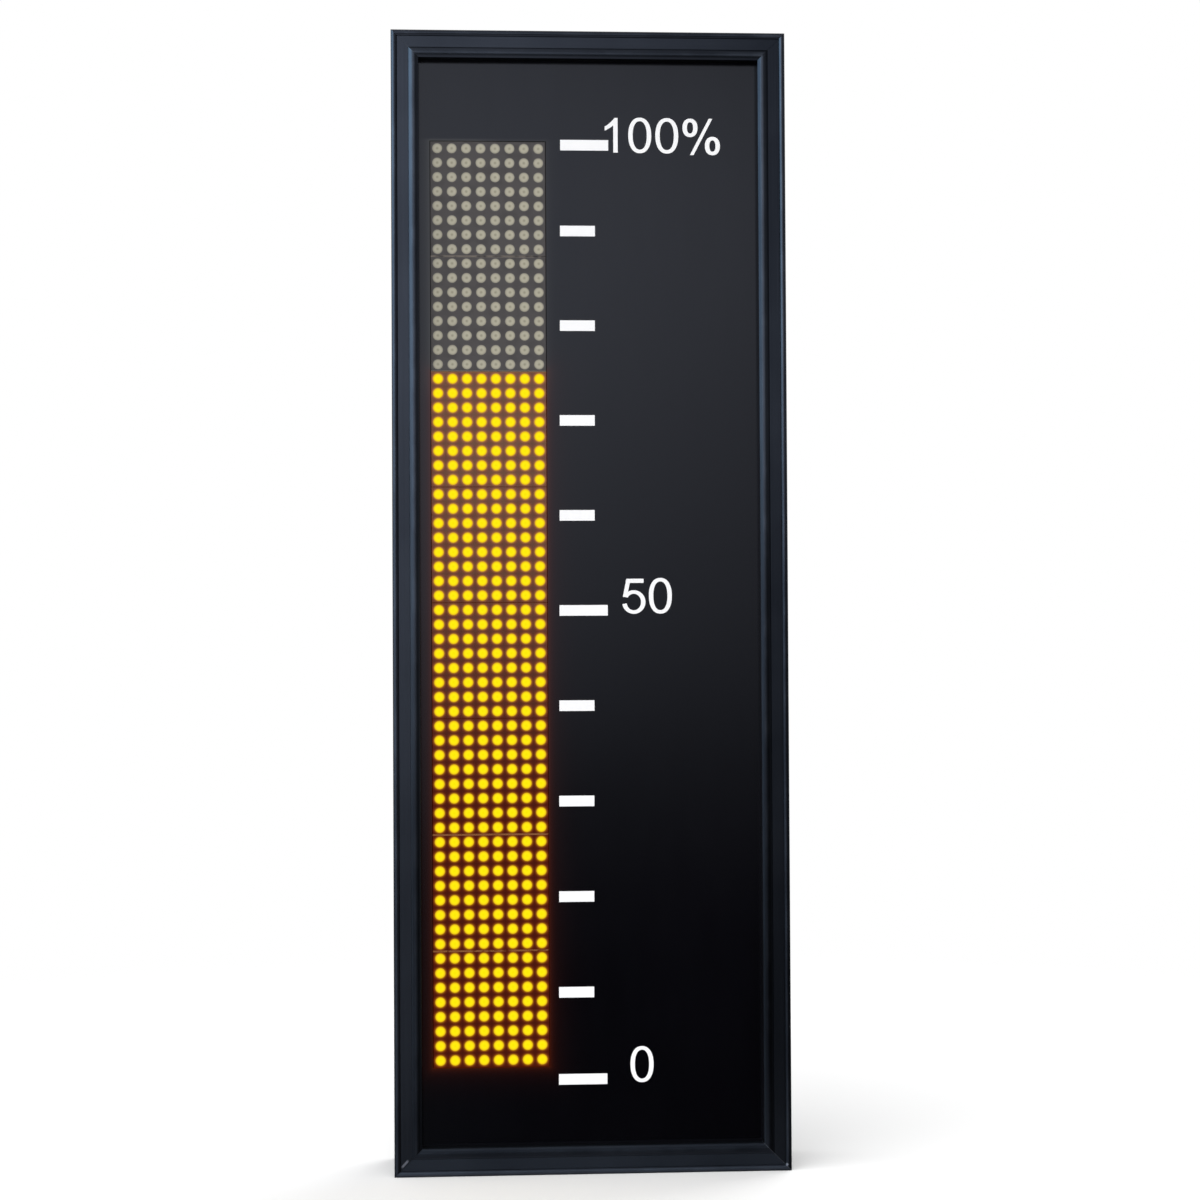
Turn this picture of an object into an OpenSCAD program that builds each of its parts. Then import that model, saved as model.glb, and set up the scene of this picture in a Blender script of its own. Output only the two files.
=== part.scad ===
// LED bar graph: a framed panel where a column of dot-matrix modules shows a level beside a scale.
// Millimetres. X runs to the viewer's right, Y from the front to the back, Z up.
// The origin is in the middle of the bottom edge, half way through the depth.

/* [Frame] */
// Overall width
frame_w = 208; // [200:1:300]
// Overall height
frame_h = 600; // [590:1:800]
// Overall depth, from the crest of the front beads to the rear edge
frame_d = 50; // [49:1:70]
// Width of the face that a rail shows at the front
rail_face = 14.4; // [13.5:0.1:18]
// Thickness of a rail's face, outer wall and lip
rail_wall = 1.6; // [1.2:0.1:2]
// Thickness of the ribs inside a rail
rib_t = 1.4; // [1:0.1:1.6]
// Width of the raised bead along the outer edge of the face
bead_w = 3.3; // [2.4:0.1:4]
// Width of the raised bead along the inner edge of the face
inner_bead_w = 5.4; // [3:0.1:6]
// Height of the beads above the face between them
bead_h = 1.2; // [0.5:0.1:1.4]
// Gap that stays open where two rails meet in a mitre
mitre_gap = 0.1; // [0.05:0.05:0.3]

/* [Corner keys] */
// Depth of the channel that the keys slide into
key_slot = 14.6; // [12:0.1:16]
// Thickness of a key
key_t = 4; // [3:0.1:4.5]
// Length of a key's legs, from the outer corner of the frame
key_leg = 40; // [34:1:60]
// Clearance of a key in its channel
key_clear = 0.2; // [0.1:0.05:0.3]
// Length of the hooks that hold the key in its channel
hook_l = 3; // [2:0.1:4]
// Thread of the set screws
set_screw_d = 5; // [4:0.5:6]

/* [Front panel] */
// Depth of the panel's face behind the front of the frame
panel_recess = 8; // [5:0.1:9]
// Thickness of the panel
panel_t = 3; // [2:0.5:4]
// How far the panel's edge reaches behind the lip of the rails
panel_grip = 5; // [4:0.5:7]
// Clearance of the panel in its slot and of the rear cover in the frame
sheet_clear = 0.2; // [0.1:0.05:0.4]
// Clearance round the modules in the panel's window
window_clear = 0.3; // [0.2:0.1:1]

/* [LED modules] */
// Distance between dot centres, both ways
led_pitch = 7.62; // [7.4:0.01:7.8]
// Diameter of a dot at the face
led_d = 5.3; // [4:0.1:6]
// Diameter of a dot at its board
led_back_d = 3.4; // [2.5:0.1:3.8]
// Gap between two modules
module_gap = 0.16; // [0.1:0.02:0.5]
// Depth of the moulded shell
shell_d = 8; // [6:0.5:9]
// Bevel round the front of the shell
edge_break = 0.2; // [0.1:0.1:0.8]
// How far the dots stay clear of their cavities
dot_clear = 0.02; // [0.01:0.01:0.05]
// How far the modules' face lies behind the panel's face
face_set_back = 0.3; // [0:0.1:1]
// Thickness of a module's back board
module_board_t = 1.6; // [1:0.1:2]
// Distance from the lip of the left rail to the modules
bar_inset = 6; // [4:0.5:12]
// How far the column's middle lies below the frame's middle
bar_drop = 1; // [0:0.5:5]

/* [Scale] */
// Height of the bars
tick_h = 5.6; // [3:0.1:8]
// Length of the common bars
tick_l = 18.5; // [10:0.5:30]
// Length of the bars at 0, 50 and 100%
long_tick_l = 25.5; // [12:0.5:40]
// Distance between the inner bars
tick_pitch = 50.2; // [45:0.1:52]
// Distance from the last inner bar to the end bar
end_pitch = 45.6; // [40:0.1:52]
// Distance from the modules to the bars
scale_gap = 6.4; // [4:0.1:12]
// How far the scale's middle lies below the column's middle
scale_drop = 4.3; // [0:0.1:8]
// How far the scale leans to the right, from its lowest to its highest bar
scale_lean = 3; // [0:0.5:4]
// Thickness of the vinyl
mark_t = 0.1; // [0.05:0.05:0.3]

/* [Driver boards] */
// Thickness of the boards
driver_t = 1.6; // [1:0.1:2]
// Gap between two boards
driver_gap = 0.5; // [0.3:0.1:1]
// Length of the standoffs behind the boards
standoff_l = 5; // [4.5:0.5:6]
// Width across flats of all standoffs
standoff_af = 5.5; // [5:0.5:7]
// Thread of the board, supply and control screws
screw_d = 3; // [2.5:0.5:3.5]
// Distance between the two board rails
rail_spread = 44; // [42:1:48]
// Width of a board rail
board_rail_w = 10; // [8:0.5:12]
// Thickness of a board rail
board_rail_t = 1.5; // [1:0.1:2]
// Depth of a board rail's leg
board_rail_leg = 7; // [5:0.5:8]
// How far a board rail lies on the rib of the top and bottom frame rails
seat_lap = 7; // [6:0.5:8]

/* [Ribbon cables] */
// Width of the cable
ribbon_w = 20.4; // [12:0.1:22]
// Thickness of the cable
ribbon_t = 0.9; // [0.6:0.1:1.2]
// Radius of the middle of its bends
ribbon_bend = 2; // [1.5:0.1:2.4]
// Height of a header on its board
header_h = 9; // [8:0.5:10]
// Distance from a board's end to the middle of its header
header_end = 14; // [12:0.5:20]

/* [Rear cover] */
// Thickness of the sheet
cover_t = 1.5; // [1:0.1:2]
// Depth of the cover behind the frame's rear edge
cover_set_in = 2.5; // [2.2:0.1:4]
// Width of the channel that the cover's screws cut into
channel_gap = 2.6; // [2.2:0.1:3]
// Depth of that channel
channel_depth = 8; // [7:0.5:9]
// Length of a ventilation slot
vent_l = 36; // [20:1:44]
// Width of a ventilation slot
vent_w = 3; // [2:0.5:4]
// Distance between ventilation slots
vent_pitch = 7; // [6:0.5:9]
// Distance between the mounting threads across
insert_x = 100; // [80:1:100]
// Distance between the mounting threads in height
insert_z = 400; // [380:1:430]
// Bore of the mounting threads
insert_d = 5; // [4:0.5:6]
// Bore of the cable grommets
grommet_d = 10; // [6:0.5:12]

/* [Power supply] */
// Width of the case
psu_w = 51; // [46:1:56]
// Length of the case
psu_l = 78; // [70:1:90]
// Height of the case
psu_h = 28; // [26:0.5:30]
// Thickness of the case's base sheet
psu_base_t = 1.5; // [1:0.1:2]
// Thickness of the case's lid
psu_lid_t = 0.8; // [0.6:0.1:1.2]
// Distance from the right rail to the case
psu_margin = 14; // [6:1:20]

/* [Control board] */
// Width of the board
control_w = 50; // [46:1:56]
// Height of the board
control_l = 80; // [76:1:90]
// Thickness of the board
control_t = 1.6; // [1:0.1:2]
// Length of its standoffs
control_standoff_l = 8; // [7:0.5:10]
// Distance from the modules to the board
control_gap = 14; // [12:1:18]
// Diameter of the power leads
lead_d = 1.8; // [1:0.1:2]

/* [Hidden] */
$fn = 48;
eps = 0.5;
module_count = 8;
leds_across = 8;
board_count = module_count / 2;

// Levels through the depth of a rail, from its front
slot_v = panel_recess + panel_t + sheet_clear;
key_v0 = slot_v + rib_t;
key_v1 = key_v0 + key_slot;
seat_v = key_v1 + rib_t;
cover_v = frame_d - cover_set_in - cover_t;
channel_v = cover_v - channel_depth;

// Distances from a rail's outer face
rib_short = 2;
channel_in = 2.8;
rib_reach = rail_face - rib_short;
key_u = rail_wall + key_clear;
hook_u = key_u + key_t + key_clear;
channel_u = rail_wall + channel_in;
channel_mid_u = channel_u + rib_t + channel_gap / 2;
pilot_u = rib_reach - seat_lap / 2;

// Planes of the part, from the front to the back
front_y = -frame_d / 2;
panel_y = front_y + panel_recess;
face_y = panel_y + face_set_back;
shell_back_y = face_y + shell_d;
module_rear_y = shell_back_y + module_board_t;
seat_y = front_y + seat_v;
driver_rear_y = seat_y - standoff_l;
driver_y = driver_rear_y - driver_t;
cover_in_y = front_y + cover_v;
cover_out_y = cover_in_y + cover_t;
control_rear_y = cover_in_y - control_standoff_l;
control_y = control_rear_y - control_t;

// The column of modules
module_pitch = leds_across * led_pitch;
module_size = module_pitch - module_gap;
bar_x = -frame_w / 2 + rail_face + bar_inset + module_size / 2;
bar_z = frame_h / 2 - bar_drop;
board_pitch = 2 * module_pitch;
driver_w = module_size - driver_gap;
driver_h = board_pitch - driver_gap;
rail_xs = [bar_x - rail_spread / 2, bar_x + rail_spread / 2];
standoff_end = 22;
standoff_zs = [standoff_end - driver_h / 2, driver_h / 2 - standoff_end];
chip_xs = [-8, 8];
chip_zs = [-18, 0, 18];
chip_h = 1.6;
driver_chip = [10, 3.9];

// Plugs between a module and its driver board
pin_step = 2.54;
pin_row_z = 22.86;
pin_t = 0.6;
pin_bar_t = 0.9;
pin_bar_w = 2.5;
pin_clear = 0.15;
pin_l = 2.6;
socket_h = driver_y - module_rear_y - pin_bar_t;

// Pan-head screws: the thread's core, the clearance hole and the head
core_r = screw_d / 2 - 0.1;
hole_r = screw_d / 2 + 0.1;
head_r = screw_d * 0.95;
head_h = 2;
tip_gap = 0.6;
standoff_reach = (standoff_l - tip_gap) / 2;
tap_r = 1.2;
tap_clear = 0.05;
cover_screw_l = 8;
cover_hole_r = channel_gap / 2 + 0.3;

// Headers and the plugs in them
header_l = 27.5;
header_w = 9;
header_wall = 1.1;
header_floor = 2.6;
plug_clear = 0.2;
plug_l = header_l - 2 * (header_wall + plug_clear);
plug_w = header_w - 2 * (header_wall + plug_clear);
plug_h = 11.5;
plug_rear = header_floor + plug_clear + plug_h;
ribbon_rise = 4.5;

// Control board, counted from its lower left corner
signal_lift = 12;
control_header_in = [14, 18];
control_hole_in = 4;
signal_z = bar_z - 1.5 * board_pitch + signal_lift;
control_x0 = bar_x + module_size / 2 + control_gap;
control_z0 = signal_z - control_header_in[1];
control_header_x = control_x0 + control_header_in[0];
control_holes = [
    for (x = [control_hole_in, control_w - control_hole_in])
        for (z = [control_hole_in, control_l - control_hole_in])
            [control_x0 + x, control_z0 + z]
];
terminal_pitch = 5;
terminal_d = 10;
terminal_h = 10;
wire_hole_r = lead_d / 2 + 0.2;
wire_hole_depth = 6;
power_ways = 2;
signal_ways = 4;
block_in = 10;
power_block_x = control_x0 + control_w - block_in - power_ways * terminal_pitch;
power_block_z = control_z0 + control_l - control_hole_in - terminal_d;
signal_block_x = control_x0 + control_w - block_in - signal_ways * terminal_pitch;
signal_block_z = control_z0 + block_in;

// Chips of the control board: place as a share of its width and of the room between the terminal
// blocks, then length and width
chip_room_z0 = signal_block_z + terminal_d;
chip_room = power_block_z - chip_room_z0;
control_chips_at = [[0.6, 0.35, 10, 10], [0.52, 0.78, 9, 4], [0.8, 0.78, 9, 4]];

// Power supply, its board and its terminal strip
psu_lift = 22;
psu_x0 = frame_w / 2 - rail_face - psu_margin - psu_w;
psu_z0 = control_z0 + control_l + psu_lift;
psu_wall = 1.2;
psu_board_lift = 4;
psu_board_t = 1.6;
psu_board_y = cover_in_y - psu_base_t - psu_board_lift - psu_board_t;
psu_front_y = cover_in_y - psu_h;
psu_screw_in = [24, 12];
psu_screws_at = [
    for (z = [psu_screw_in[0], psu_l - psu_screw_in[1]])
        [psu_x0 + psu_w / 2, psu_z0 + z]
];
strip_ways = 5;
strip_pitch = 8;
strip_d = 12;
strip_h = 12;
strip_ledge = 5;
strip_x0 = psu_x0 + (psu_w - strip_ways * strip_pitch) / 2;

// On the supply's board, from its middle and the terminal strip: place, then size.
// A capacitor's size is its radius and its height.
transformer = [[-17, 18], [20, 16, 22]];
large_capacitor = [5, 15];
small_capacitor = [4, 12];
capacitors = [
    [[12, 12], large_capacitor],
    [[12, 26], large_capacitor],
    [[-12, 10], small_capacitor],
    [[-1, 10], small_capacitor]
];
heat_sink = [[-16, 46], [32, 14, 10]];
fin_count = 5;
fin_gap = 4;
fin_t = 2;
fin_base = 3;

// What goes through the rear cover
insert_wall = 1;
insert_flange = 1.2;
insert_body_r = insert_d / 2 + insert_wall;
insert_flange_r = insert_body_r + insert_flange;
insert_flange_t = 0.8;
insert_depth = 9;
insert_points = [
    for (x = [-insert_x / 2, insert_x / 2])
        for (z = [-insert_z / 2, insert_z / 2])
            [x, frame_h / 2 + z]
];
grommet_wall = 3;
grommet_flange = 2;
grommet_bevel = 1;
grommet_lip = 2;
grommet_clear = 0.05;
grommet_hole_r = grommet_d / 2 + grommet_wall;
grommet_flange_r = grommet_hole_r + grommet_flange;
grommet_z = 45;
grommet_xs = [10, 40];
cover_w = frame_w - 2 * (rail_wall + sheet_clear);
cover_h = frame_h - 2 * (rail_wall + sheet_clear);
cover_screw_end = 60;
cover_screws_at = concat(
    [
        for (side = [-1, 1])
            for (z = [cover_screw_end, frame_h / 2, frame_h - cover_screw_end])
                [side * (frame_w / 2 - channel_mid_u), z]
    ],
    [
        for (x = [-frame_w / 4, frame_w / 4])
            for (z = [channel_mid_u, frame_h - channel_mid_u])
                [x, z]
    ]
);
vent_rows = 5;
vent_end = (frame_h - insert_z) / 4;
vent_xs = [-frame_w / 4, 0, frame_w / 4];

// Height of the middle of a module, counted from the bottom
function module_z(i) = bar_z + (i - (module_count + 1) / 2) * module_pitch;

// Height of the middle of a driver board, counted from the bottom
function board_z(j) = bar_z + (j - (board_count + 1) / 2) * board_pitch;

// Height of a bar of the scale, from -5 at 0 to 5 at 100%
function tick_z(k) =
    bar_z - scale_drop + (abs(k) < 5 ? k * tick_pitch : sign(k) * (4 * tick_pitch + end_pitch));

// A cylinder or cone that runs back along Y from its front end
module along_y(length, r_front, r_back) {
    rotate([-90, 0, 0]) cylinder(h = length, r1 = r_front, r2 = r_back);
}

// A block given by its corner nearest the origin's left, front and bottom
module block(corner, size) {
    translate(corner) cube(size);
}

// A pan-head screw that points along +Y, with a cross recess: the head's seat is at the origin
module pan_screw(reach, shank_r, cap_r) {
    recess = 0.28 * cap_r;
    difference() {
        rotate([-90, 0, 0])
            rotate_extrude()
                polygon([
                    [0, -head_h],
                    [0.6 * cap_r, -head_h],
                    [cap_r, -head_h / 2],
                    [cap_r, 0],
                    [shank_r, 0],
                    [shank_r, reach - shank_r],
                    [0.3 * shank_r, reach],
                    [0, reach]
                ]);
        for (turn = [0, 90])
            rotate([0, turn, 0])
                translate([-0.6 * cap_r, -head_h - eps, -recess / 2])
                    cube([1.2 * cap_r, head_h / 2 + eps, recess]);
    }
}

// A strip of even thickness along points that turn at right angles, with round bends
module strip_path(points, thickness, bend) {
    last = len(points) - 1;
    for (i = [0:last - 1]) {
        run = points[i + 1] - points[i];
        step = run / norm(run);
        from = points[i] + (i > 0 ? bend : 0) * step;
        to = points[i + 1] - (i < last - 1 ? bend : 0) * step;
        span = to - from;
        across = [thickness * abs(step[1]), thickness * abs(step[0])];
        translate((from + to) / 2)
            square([abs(span[0]), abs(span[1])] + across, center = true);
    }
    for (i = [1:last - 1]) {
        before = (points[i] - points[i - 1]) / norm(points[i] - points[i - 1]);
        after = (points[i + 1] - points[i]) / norm(points[i + 1] - points[i]);
        reach = bend + thickness;
        quarter = before - after;
        translate(points[i] + bend * (after - before))
            intersection() {
                difference() {
                    circle(r = bend + thickness / 2);
                    circle(r = bend - thickness / 2);
                }
                translate([min(quarter[0], 0) * reach, min(quarter[1], 0) * reach])
                    square(reach);
            }
    }
}

// Section of a bead: an arc that rises from the face, with the metal behind it
module bead(u, width) {
    crest_r = (pow(bead_h, 2) + pow(width / 2, 2)) / (2 * bead_h);
    intersection() {
        translate([u + width / 2, crest_r]) circle(r = crest_r);
        translate([u, 0]) square([width, bead_h + rail_wall]);
    }
}

// Section of a frame rail: X runs inwards from the outer face, Y back from the front
module rail_section() {
    translate([0, bead_h]) square([rail_face, rail_wall]);
    bead(0, bead_w);
    bead(rail_face - inner_bead_w, inner_bead_w);
    translate([0, bead_h]) square([rail_wall, frame_d - bead_h]);
    translate([rail_face - rail_wall, bead_h]) square([rail_wall, panel_recess - bead_h]);
    translate([0, panel_recess - rib_t]) square([rail_face, rib_t]);
    for (v = [slot_v, key_v1])
        translate([0, v]) square([rib_reach, rib_t]);
    for (v = [slot_v, key_v1 - hook_l])
        translate([hook_u, v]) square([rib_t, rib_t + hook_l]);
    translate([0, channel_v - rib_t]) square([channel_u + channel_gap + 2 * rib_t, rib_t]);
    for (u = [channel_u, channel_u + rib_t + channel_gap])
        translate([u, channel_v - rib_t]) square([rib_t, channel_depth + rib_t]);
}

// A rail along Z, cut to a mitre at both ends
module rail(length) {
    back = mitre_gap / sqrt(2);
    reach = rail_face + eps;
    intersection() {
        linear_extrude(length) rail_section();
        translate([0, frame_d + eps, 0])
            rotate([90, 0, 0])
                linear_extrude(frame_d + 2 * eps)
                    polygon([
                        [-eps, back - eps],
                        [reach, back + reach],
                        [reach, length - back - reach],
                        [-eps, length - back + eps]
                    ]);
    }
}

// The left rail, and its mirror image at the right
module side_rail() {
    translate([-frame_w / 2, front_y, 0]) rail(frame_h);
}

// The top rail seen from its own outer face, with the pilot holes for the board rails
module cross_rail() {
    difference() {
        translate([-frame_w / 2, front_y, 0]) rotate([0, 90, 0]) rail(frame_w);
        for (x = rail_xs)
            translate([x, seat_y - rib_t - eps, -pilot_u])
                along_y(rib_t + 2 * eps, tap_r + tap_clear, tap_r + tap_clear);
    }
}

module frame_top() {
    color("#2b3037") translate([0, 0, frame_h]) cross_rail();
}

module frame_bottom() {
    color("#2b3037") mirror([0, 0, 1]) cross_rail();
}

module frame_left() {
    color("#2b3037") side_rail();
}

module frame_right() {
    color("#2b3037") mirror([1, 0, 0]) side_rail();
}

// Puts what is drawn at the bottom left corner at any corner
module at_corner(right, top) {
    translate([(right - 0.5) * frame_w, 0, top * frame_h])
        mirror([right, 0, 0])
            mirror([0, 0, top])
                children();
}

// Places of the set screws on both legs of a key, each pointing at the outer wall
module on_key_legs() {
    mid_y = front_y + (key_v0 + key_v1) / 2;
    leg_end = 12;
    along = key_leg - leg_end;
    translate([along, mid_y, rail_wall]) children();
    translate([rail_wall, mid_y, along]) rotate([0, 90, 0]) children();
}

module corner_key(right, top) {
    depth = key_slot - 2 * key_clear;
    color("#9aa0a6")
        at_corner(right, top)
            difference() {
                translate([0, front_y + key_v1 - key_clear, 0])
                    rotate([90, 0, 0])
                        linear_extrude(depth)
                            translate([key_u, key_u])
                                difference() {
                                    square(key_leg - key_u);
                                    translate([key_t, key_t]) square(key_leg);
                                }
                on_key_legs() cylinder(h = key_t + 2 * key_clear + eps, d = set_screw_d);
            }
}

module corner_key_screws() {
    stand_out = 1;
    thread_clear = 0.1;
    length = key_t + 2 * key_clear + stand_out;
    socket_d = set_screw_d / 2;
    color("#55595e")
        for (right = [0, 1])
            for (top = [0, 1])
                at_corner(right, top)
                    on_key_legs()
                        difference() {
                            cylinder(h = length, d = set_screw_d - thread_clear);
                            translate([0, 0, length / 2])
                                cylinder(h = length, d = socket_d, $fn = 6);
                        }
}

module front_panel() {
    edge = rail_face - panel_grip;
    window_w = module_size + 2 * window_clear;
    window_h = (module_count - 1) * module_pitch + module_size + 2 * window_clear;
    color("#141518")
        difference() {
            block(
                [edge - frame_w / 2, panel_y, edge],
                [frame_w - 2 * edge, panel_t, frame_h - 2 * edge]
            );
            block(
                [bar_x - window_w / 2, panel_y - eps, bar_z - window_h / 2],
                [window_w, panel_t + 2 * eps, window_h]
            );
        }
}

module scale_marks() {
    scale_x = bar_x + module_size / 2 + scale_gap;
    lean = scale_lean / (tick_z(5) - tick_z(-5));
    color("white")
        for (k = [-5:5])
            block(
                [scale_x + lean * (tick_z(k) - tick_z(0)), panel_y - mark_t, tick_z(k) - tick_h / 2],
                [k % 5 == 0 ? long_tick_l : tick_l, mark_t, tick_h]
            );
}

// A shell's section: its width along X and its depth along Y, bevelled at the front
module shell_section() {
    half = module_size / 2;
    polygon([
        [edge_break - half, 0],
        [half - edge_break, 0],
        [half, edge_break],
        [half, shell_d],
        [-half, shell_d],
        [-half, edge_break]
    ]);
}

// Puts a child at each dot of a module, on the face
module on_dots() {
    for (i = [1:leds_across])
        for (j = [1:leds_across])
            translate([
                (i - (leds_across + 1) / 2) * led_pitch,
                0,
                (j - (leds_across + 1) / 2) * led_pitch
            ])
                children();
}

module led_module(i) {
    flare = eps * (led_d - led_back_d) / 2 / shell_d;
    color("#48454a")
        translate([bar_x, face_y, module_z(i)])
            difference() {
                intersection() {
                    translate([0, 0, -module_size / 2])
                        linear_extrude(module_size)
                            shell_section();
                    rotate([0, -90, 0])
                        translate([0, 0, -module_size / 2])
                            linear_extrude(module_size)
                                shell_section();
                }
                on_dots()
                    translate([0, -eps, 0])
                        along_y(shell_d + 2 * eps, led_d / 2 + flare, led_back_d / 2 - flare);
            }
}

module led_dots(i) {
    color(i > module_count * 3 / 4 ? "#a8a590" : "#ffec00")
        translate([bar_x, face_y, module_z(i)])
            on_dots()
                along_y(shell_d, led_d / 2 - dot_clear, led_back_d / 2 - dot_clear);
}

module module_back_boards() {
    color("#1f5c3a")
        for (i = [1:module_count])
            block(
                [bar_x - module_size / 2, shell_back_y, module_z(i) - module_size / 2],
                [module_size, module_board_t, module_size]
            );
}

// Puts a child in the middle of each pin row of each module
module on_pin_rows() {
    for (i = [1:module_count])
        for (side = [-1, 1])
            translate([bar_x, 0, module_z(i) + side * pin_row_z])
                children();
}

// Puts a child at each pin of a row
module on_pins() {
    for (i = [1:leds_across])
        translate([(i - (leds_across + 1) / 2) * pin_step, 0, 0])
            children();
}

// A bar as long as a pin row, from a plane towards the back
module pin_bar(y, depth) {
    length = leds_across * pin_step;
    block([-length / 2, y, -pin_bar_w / 2], [length, depth, pin_bar_w]);
}

// Square pins or their holes, from a plane towards the back
module pin_row(y, depth, thickness) {
    on_pins() block([-thickness / 2, y, -thickness / 2], [thickness, depth, thickness]);
}

module module_pins() {
    color("#d0c060")
        on_pin_rows() {
            pin_bar(module_rear_y, pin_bar_t);
            pin_row(module_rear_y, pin_bar_t + pin_l, pin_t);
        }
}

module pin_sockets() {
    top_y = driver_y - socket_h;
    color("#1b1b1d")
        on_pin_rows()
            difference() {
                pin_bar(top_y, socket_h);
                pin_row(top_y - eps, pin_l + 2 * pin_clear + eps, pin_t + 2 * pin_clear);
            }
}

// Puts a child at each standoff of a driver board, on the board's rear face
module on_standoffs(j) {
    for (x = rail_xs)
        for (z = standoff_zs)
            translate([x, driver_rear_y, board_z(j) + z])
                children();
}

module driver_board(j) {
    color("#1f5c3a")
        difference() {
            block(
                [bar_x - driver_w / 2, driver_y, board_z(j) - driver_h / 2],
                [driver_w, driver_t, driver_h]
            );
            on_standoffs(j)
                translate([0, -driver_t - eps, 0])
                    along_y(driver_t + 2 * eps, hole_r, hole_r);
        }
}

// A chip with its two rows of leads, lying along Z on a board that faces +Y
module chip(length, width) {
    lead = 1.1;
    lead_t = 0.3;
    end = 0.5;
    block([-width / 2, lead_t / 2, -length / 2], [width, chip_h, length]);
    for (side = [-1, 1])
        translate([side * (width + lead) / 2, lead_t / 2, 0])
            cube([lead + lead_t, lead_t, length - 2 * end], center = true);
}

module driver_chips() {
    color("#202124")
        for (j = [1:board_count])
            for (x = chip_xs)
                for (z = chip_zs)
                    translate([bar_x + x, driver_rear_y, board_z(j) + z])
                        chip(driver_chip[0], driver_chip[1]);
}

// Puts a child at each header, turned so that the header stands along +Y and is long in X
module on_headers() {
    for (j = [1:board_count - 1])
        for (side = [-1, 1])
            translate([bar_x, driver_rear_y, board_z(j) + board_pitch / 2 + side * header_end])
                children();
    translate([bar_x, driver_rear_y, signal_z]) rotate([0, 90, 0]) children();
    translate([control_header_x, control_y, signal_z])
        rotate([0, 90, 180])
            children();
}

module ribbon_headers() {
    color("#2a2a2e")
        on_headers()
            difference() {
                block([-header_l / 2, 0, -header_w / 2], [header_l, header_h, header_w]);
                block(
                    [header_wall - header_l / 2, header_floor, header_wall - header_w / 2],
                    [header_l - 2 * header_wall, header_h, header_w - 2 * header_wall]
                );
            }
}

module ribbon_plugs() {
    color("#3a3a40")
        on_headers()
            block(
                [-plug_l / 2, header_floor + plug_clear, -plug_w / 2],
                [plug_l, plug_h, plug_w]
            );
}

module ribbon_cables() {
    start_y = driver_rear_y + plug_rear;
    bow_y = start_y + ribbon_rise;
    end_y = control_y - plug_rear;
    cross_y = end_y - ribbon_rise;
    turn_x = control_x0 - control_gap / 2;
    color("#8f9297") {
        for (j = [1:board_count - 1]) {
            low = board_z(j) + board_pitch / 2 - header_end;
            high = low + 2 * header_end;
            translate([bar_x + ribbon_w / 2, 0, 0])
                rotate([0, -90, 0])
                    linear_extrude(ribbon_w)
                        strip_path(
                            [[low, start_y], [low, bow_y], [high, bow_y], [high, start_y]],
                            ribbon_t,
                            ribbon_bend
                        );
        }
        translate([0, 0, signal_z - ribbon_w / 2])
            linear_extrude(ribbon_w)
                strip_path(
                    [
                        [bar_x, start_y],
                        [bar_x, bow_y],
                        [turn_x, bow_y],
                        [turn_x, cross_y],
                        [control_header_x, cross_y],
                        [control_header_x, end_y]
                    ],
                    ribbon_t,
                    ribbon_bend
                );
    }
}

// A hexagonal standoff with a bore, back along Y from its front end
module standoff(length) {
    difference() {
        rotate([-90, 0, 0]) cylinder(h = length, d = standoff_af / cos(30), $fn = 6);
        translate([0, -eps, 0]) along_y(length + 2 * eps, screw_d / 2, screw_d / 2);
    }
}

module board_standoffs() {
    color("#c9a54a")
        for (j = [1:board_count])
            on_standoffs(j)
                standoff(standoff_l);
}

module board_screws() {
    color("#b8bcc0")
        for (j = [1:board_count])
            on_standoffs(j) {
                translate([0, -driver_t, 0])
                    pan_screw(driver_t + standoff_reach, core_r, head_r);
                translate([0, standoff_l + board_rail_t, 0])
                    rotate([0, 0, 180])
                        pan_screw(board_rail_t + standoff_reach, core_r, head_r);
            }
}

// An angle whose flange lies on the cross rails' ribs: side -1 is the left one, 1 the right one
module board_rail(side) {
    x = bar_x + side * rail_spread / 2;
    end_z = rib_reach - seat_lap;
    leg_z = rib_reach + 1;
    leg_x = x + side * (board_rail_w - board_rail_t) / 2;
    difference() {
        union() {
            block(
                [x - board_rail_w / 2, seat_y, end_z],
                [board_rail_w, board_rail_t, frame_h - 2 * end_z]
            );
            block(
                [leg_x - board_rail_t / 2, seat_y, leg_z],
                [board_rail_t, board_rail_leg, frame_h - 2 * leg_z]
            );
        }
        for (j = [1:board_count])
            for (z = standoff_zs)
                translate([x, seat_y - eps, board_z(j) + z])
                    along_y(board_rail_t + 2 * eps, hole_r, hole_r);
        for (z = [pilot_u, frame_h - pilot_u])
            translate([x, seat_y - eps, z])
                along_y(board_rail_t + 2 * eps, hole_r, hole_r);
    }
}

module board_rail_left() {
    color("#b9bdc2") board_rail(-1);
}

module board_rail_right() {
    color("#b9bdc2") board_rail(1);
}

module rail_screws() {
    tip = 2;
    color("#b8bcc0")
        for (x = rail_xs)
            for (z = [pilot_u, frame_h - pilot_u])
                translate([x, seat_y + board_rail_t, z])
                    rotate([0, 0, 180])
                        pan_screw(board_rail_t + rib_t + tip, tap_r, head_r);
}

// Puts a child on the rear cover's outer face, turned to point into the case
module through_cover(points) {
    for (p = points)
        translate([p[0], cover_out_y, p[1]])
            rotate([0, 0, 180])
                children();
}

// A hole through the rear cover's sheet and on into the case
module cover_hole(r, depth) {
    translate([0, -eps, 0]) along_y(depth + eps, r, r);
}

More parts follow.
